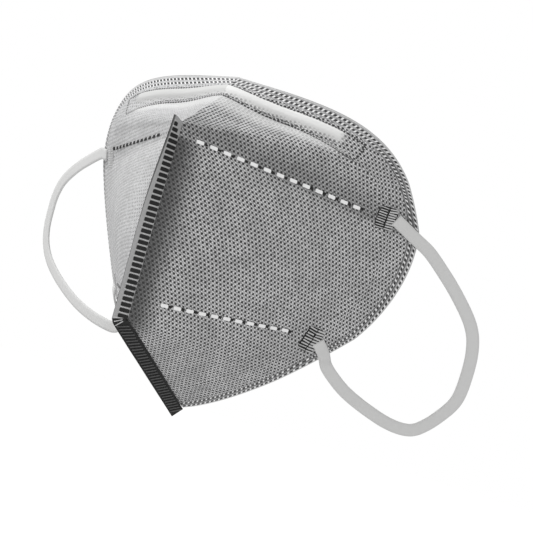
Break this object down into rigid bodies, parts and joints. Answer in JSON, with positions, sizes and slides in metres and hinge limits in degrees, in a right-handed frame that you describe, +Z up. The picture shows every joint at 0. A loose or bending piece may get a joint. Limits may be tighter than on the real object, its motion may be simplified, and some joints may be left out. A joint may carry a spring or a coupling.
{
  "type": "disposable dust mask",
  "caption": "Fold-flat filtering face mask, opened as worn, with a welded front seam, nose, cheek and chin panels, a nose wire and flat elastic ear loops.",
  "frame": {"origin": "middle of the face opening, where the mask seals on the face", "axes": "+Z up the face, -Y out of the face towards the front seam, +X towards the wearer's left"},
  "size_m": [0.2129, 0.0995, 0.1365],
  "materials": {
    "cover_white": "matte embossed nonwoven",
    "filter_white": "matte fine nonwoven",
    "support_white": "matte soft nonwoven",
    "lining_white": "matte nonwoven",
    "weld_white": "melted nonwoven, slightly glossy",
    "nose_wire": "flat bendable wire",
    "elastic_white": "flat knitted elastic"
  },
  "bodies": {
    "front_seam": {"front_seam": "weld_white"},
    "chin_seam": {"chin_seam": "weld_white"},
    "left_cheek": {"left_cheek_lining": "lining_white", "left_cheek_support": "support_white", "left_cheek_filter": "filter_white", "left_cheek_cover": "cover_white", "left_upper_loop_weld": "weld_white", "left_lower_loop_weld": "weld_white"},
    "left_nose": {"left_nose_lining": "lining_white", "left_nose_support": "support_white", "left_nose_filter": "filter_white", "left_nose_cover": "cover_white", "left_nose_wire": "nose_wire"},
    "left_chin": {"left_chin_lining": "lining_white", "left_chin_support": "support_white", "left_chin_filter": "filter_white", "left_chin_cover": "cover_white"},
    "left_loop": {"left_ear_loop": "elastic_white"},
    "right_cheek": {"right_cheek_lining": "lining_white", "right_cheek_support": "support_white", "right_cheek_filter": "filter_white", "right_cheek_cover": "cover_white", "right_upper_loop_weld": "weld_white", "right_lower_loop_weld": "weld_white"},
    "right_nose": {"right_nose_lining": "lining_white", "right_nose_support": "support_white", "right_nose_filter": "filter_white", "right_nose_cover": "cover_white", "right_nose_wire": "nose_wire"},
    "right_chin": {"right_chin_lining": "lining_white", "right_chin_support": "support_white", "right_chin_filter": "filter_white", "right_chin_cover": "cover_white"},
    "right_loop": {"right_ear_loop": "elastic_white"}
  },
  "joints": [
    {"name": "left_cheek_fold", "type": "hinge", "parent": "front_seam", "child": "left_cheek", "pos_m": [0, -0.0565, 0.00125], "axis": [0, 0, 1], "range_deg": [0, 32]},
    {"name": "right_cheek_fold", "type": "hinge", "parent": "front_seam", "child": "right_cheek", "pos_m": [0, -0.0565, 0.00125], "axis": [0, 0, -1], "range_deg": [0, 32]},
    {"name": "left_nose_fold", "type": "hinge", "parent": "left_cheek", "child": "left_nose", "pos_m": [0, -0.0565, 0.038], "axis": [0.7538, 0.6553, -0.0488], "range_deg": [0, 34]},
    {"name": "right_nose_fold", "type": "hinge", "parent": "right_cheek", "child": "right_nose", "pos_m": [0, -0.0565, 0.038], "axis": [0.7538, -0.6553, 0.0488], "range_deg": [0, 34]},
    {"name": "left_chin_fold", "type": "hinge", "parent": "left_cheek", "child": "left_chin", "pos_m": [0, -0.0565, -0.0355], "axis": [-0.5663, -0.824, 0.0157], "range_deg": [0, 52]},
    {"name": "right_chin_fold", "type": "hinge", "parent": "right_cheek", "child": "right_chin", "pos_m": [0, -0.0565, -0.0355], "axis": [-0.5663, 0.824, -0.0157], "range_deg": [0, 52]},
    {"name": "chin_seam_turn", "type": "hinge", "parent": "front_seam", "child": "chin_seam", "pos_m": [0, -0.0565, -0.0355], "axis": [-1, 0, 0], "range_deg": [0, 18]},
    {"name": "left_loop_swing", "type": "hinge", "parent": "left_cheek", "child": "left_loop", "pos_m": [0.07702, 0.01256, 0.02152], "axis": [-0.4193, -0.0146, -0.9077], "range_deg": [-20, 60], "stiffness_Nm_per_rad": 0.01},
    {"name": "right_loop_swing", "type": "hinge", "parent": "right_cheek", "child": "right_loop", "pos_m": [-0.07702, 0.01256, 0.02152], "axis": [-0.4193, 0.0146, 0.9077], "range_deg": [-20, 60], "stiffness_Nm_per_rad": 0.01}
  ],
  "couplings": [
    {"joint": "right_cheek_fold", "follows": "left_cheek_fold", "ratio": 1},
    {"joint": "left_nose_fold", "follows": "left_cheek_fold", "ratio": 1.05},
    {"joint": "right_nose_fold", "follows": "left_cheek_fold", "ratio": 1.05},
    {"joint": "left_chin_fold", "follows": "left_cheek_fold", "ratio": 1.6},
    {"joint": "right_chin_fold", "follows": "left_cheek_fold", "ratio": 1.6},
    {"joint": "chin_seam_turn", "follows": "left_cheek_fold", "ratio": 0.55}
  ]
}
